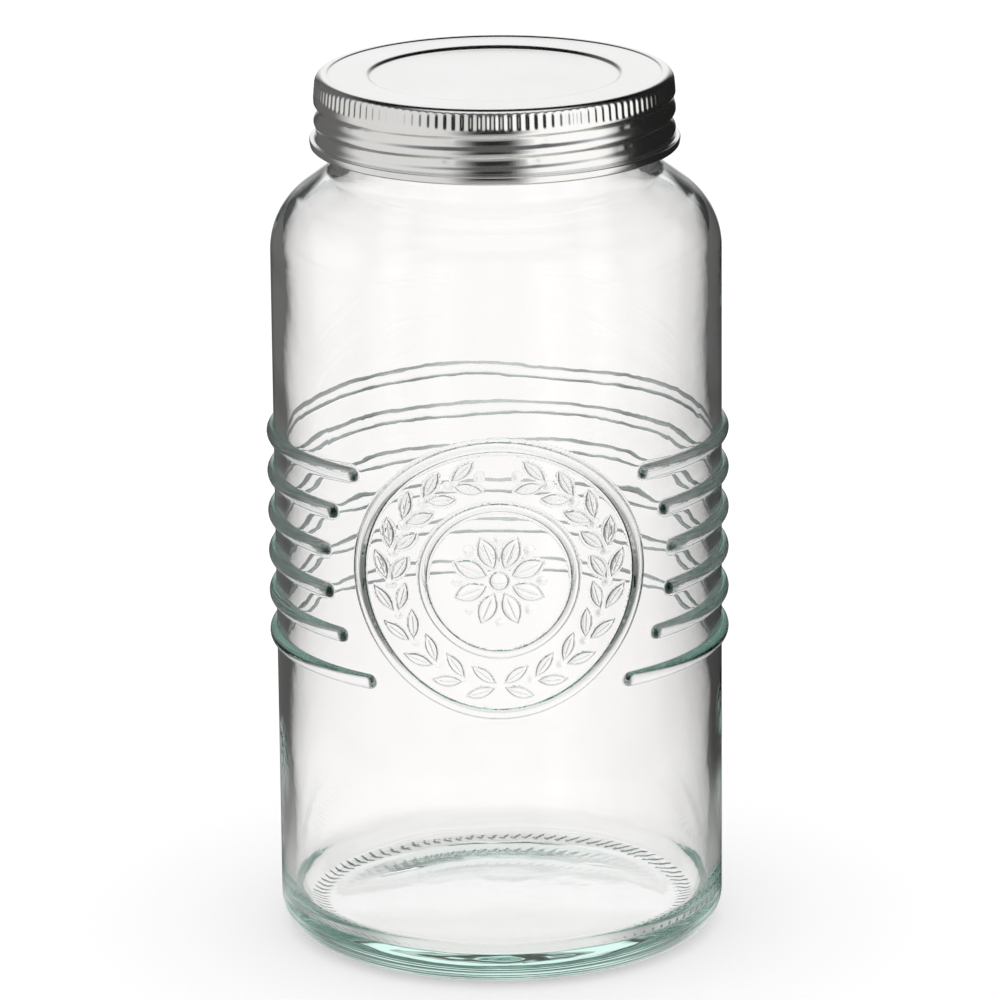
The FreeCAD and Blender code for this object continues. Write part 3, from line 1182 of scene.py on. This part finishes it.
# %% Table
def table_material():
    """White paper for the camera, and boards and sheets for light from the jar."""
    made, f = material("studio_table")
    place = f.place()
    x, y, _ = f.split(place)
    turn = x.math("ARCTAN2", y * -1.0) * (180 / math.pi)
    aside = x.math("ARCTAN2", y + 0.15) * (180 / math.pi)
    reach = (x * x + y * y).math("SQRT")
    under = 1 - reach.between(0.062, 0.08)
    seen, mirrored, passed, turned = ray_kinds(f)

    tone = f.blend(f.noise(place, 6.0), (0.80, 0.80, 0.80, 1), (0.82, 0.82, 0.82, 1))
    paper = f.node("BsdfDiffuse", Color=tone)
    glow = f.node("Emission", Color=tinted(f, (1.0, 1.0, 1.0), seen * 0.40))
    shown = f.node("AddShader", i0=paper.outputs[0], i1=glow.outputs[0])
    side = turn.math("ABSOLUTE")
    near = (1 - reach.between(0.3, 0.55)) * (1 - side.between(80, 105))
    close = 1 - reach.between(0.09, 0.15)
    mirror_level = boards(turn).math("MAXIMUM", near * 0.36 + near * close * 0.6).math(
        "MAXIMUM", side.between(164, 174) * 0.92)
    passed_level = white_sheet(aside) * (1 - under) + under * 0.93
    ends = side.between(130, 150) + 1 - side.between(30, 50)
    turned_level = (inside_boards(turn) * (reach.between(0.45, 0.6) * 0.75 + 0.25) + 0.05
                    + (close * (ends * 0.5 + 0.25)).math(
                        "MAXIMUM", (1 - side.between(30, 55)) * 0.6))
    level = mirrored * mirror_level + turned * turned_level
    warm = tinted(f, (1.0, 0.985, 0.96), level)
    clear = tinted(f, (1.04, 1.0, 1.0), passed * passed_level)
    bent = f.node("Emission", Color=f.node("VectorMath", i0=warm, i1=clear).outputs[0])
    f.show(f.node("MixShader", i0=(mirrored + passed + turned).clamp(),
                  i1=shown.outputs[0], i2=bent.outputs[0]))
    made.cycles.emission_sampling = "NONE"
    return made


TABLE_REACH = 6.0
TABLE_DROP = 0.00002
corners = [(x * TABLE_REACH, y * TABLE_REACH, 0)
           for x, y in ((-1, -1), (1, -1), (1, 1), (-1, 1))]
table_mesh = bpy.data.meshes.new("studio_table")
table_mesh.from_pydata(corners, [], [(0, 1, 2, 3)])
table = into_scene("studio_table", table_mesh)
give(table, table_material())
table.location.z = -TABLE_DROP

# %% [markdown]
# ## Camera
#
# A long lens from a little above keeps the sides of the jar almost parallel.
# The view leans by half a degree, as a camera held by hand does. The jar has
# many faces behind each other, and a ray that runs out of bounces turns black,
# so rays may bounce more often than by default.

# %% Camera
CAMERA_LIFT = 16.22
CAMERA_DISTANCE = 1.6
CAMERA_LEAN = 0.55
LENS, SENSOR = 233.95, 36.0
aim = Vector((0.0004, 0.0, 0.108))
c, s = cos_sin(CAMERA_LIFT)
back_off = Vector((0, -c, s)) * CAMERA_DISTANCE
camera_data = bpy.data.cameras.new("camera")
camera_data.lens = LENS
camera_data.sensor_width = SENSOR
camera_data.clip_start = 0.05
camera = into_scene("camera", camera_data)
camera.location = aim + back_off
camera.rotation_mode = "QUATERNION"
look = (-back_off).to_track_quat("-Z", "Y")
lean = Quaternion((0, 0, 1), math.radians(-CAMERA_LEAN))
camera.rotation_quaternion = look @ lean
bpy.context.scene.camera = camera

BOUNCES = 36
scene = bpy.context.scene
scene.view_settings.view_transform = "Standard"
scene.cycles.max_bounces = BOUNCES
scene.cycles.transmission_bounces = BOUNCES
scene.cycles.glossy_bounces = BOUNCES
print("camera at", [round(c, 3) for c in camera.location])
